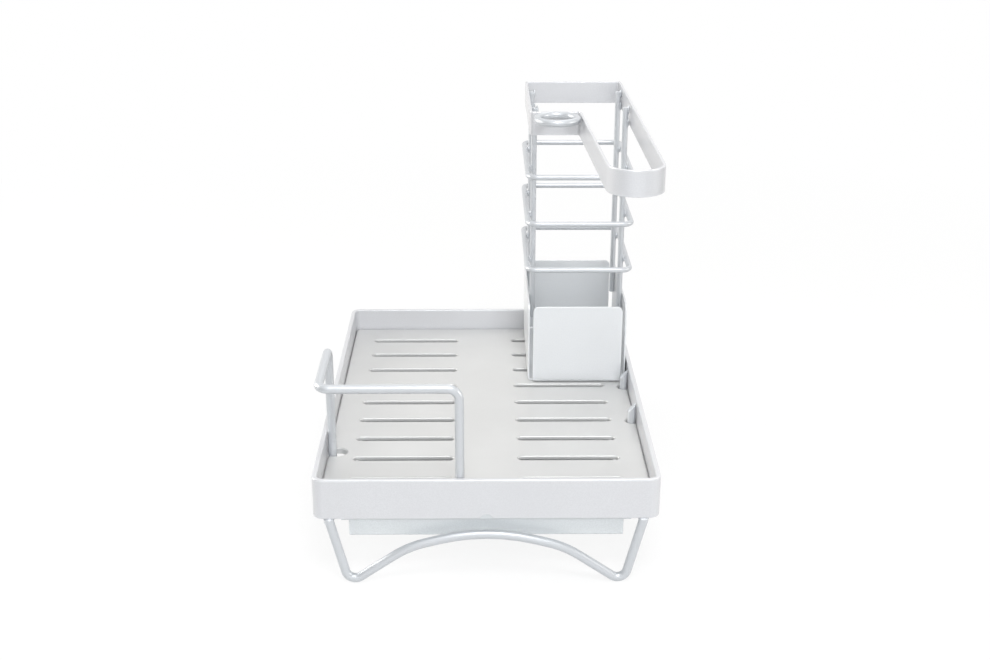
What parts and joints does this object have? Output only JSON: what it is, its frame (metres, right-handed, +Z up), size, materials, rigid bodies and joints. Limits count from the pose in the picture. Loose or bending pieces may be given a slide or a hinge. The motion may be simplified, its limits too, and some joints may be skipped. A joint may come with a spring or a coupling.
{
  "type": "sink tidy",
  "caption": "Slotted wire-legged sink tray with a guard rail, a lift-off brush tower with a towel arm and ring, and a slide-out drip tray.",
  "frame": {"origin": "on the worktop, under the middle of the tray", "axes": "+X to the right towards the tower, +Y to the rear away from the user, +Z up from the worktop"},
  "size_m": [0.21, 0.3006, 0.2529],
  "materials": {
    "bar_paint": "semi-gloss silver powder paint",
    "floor_paint": "semi-gloss silver powder paint",
    "wire_paint": "semi-gloss silver powder paint",
    "box_paint": "semi-gloss silver powder paint",
    "pan_paint": "semi-gloss silver powder paint"
  },
  "bodies": {
    "tray": {"tray_rim": "bar_paint", "tray_floor": "floor_paint", "front_leg": "wire_paint", "rear_leg": "wire_paint", "guard_rail": "wire_paint", "front_peg": "wire_paint", "rear_peg": "wire_paint", "front_runner": "pan_paint", "rear_runner": "pan_paint"},
    "tower": {"holder_box": "box_paint", "upright_front_left": "wire_paint", "upright_front_right": "wire_paint", "upright_rear_left": "wire_paint", "upright_rear_right": "wire_paint", "lower_loop": "wire_paint", "middle_loop": "wire_paint", "upper_loop": "wire_paint", "top_band": "bar_paint", "brush_ring": "wire_paint"},
    "drip_tray": {"drip_tray": "pan_paint"}
  },
  "joints": [
    {"name": "tower_lift", "type": "slide", "parent": "tray", "child": "tower", "axis": [0, 0, 1], "range_m": [0, 0.12]},
    {"name": "drip_tray_slide", "type": "slide", "parent": "tray", "child": "drip_tray", "axis": [-1, 0, 0], "range_m": [0, 0.16]}
  ]
}
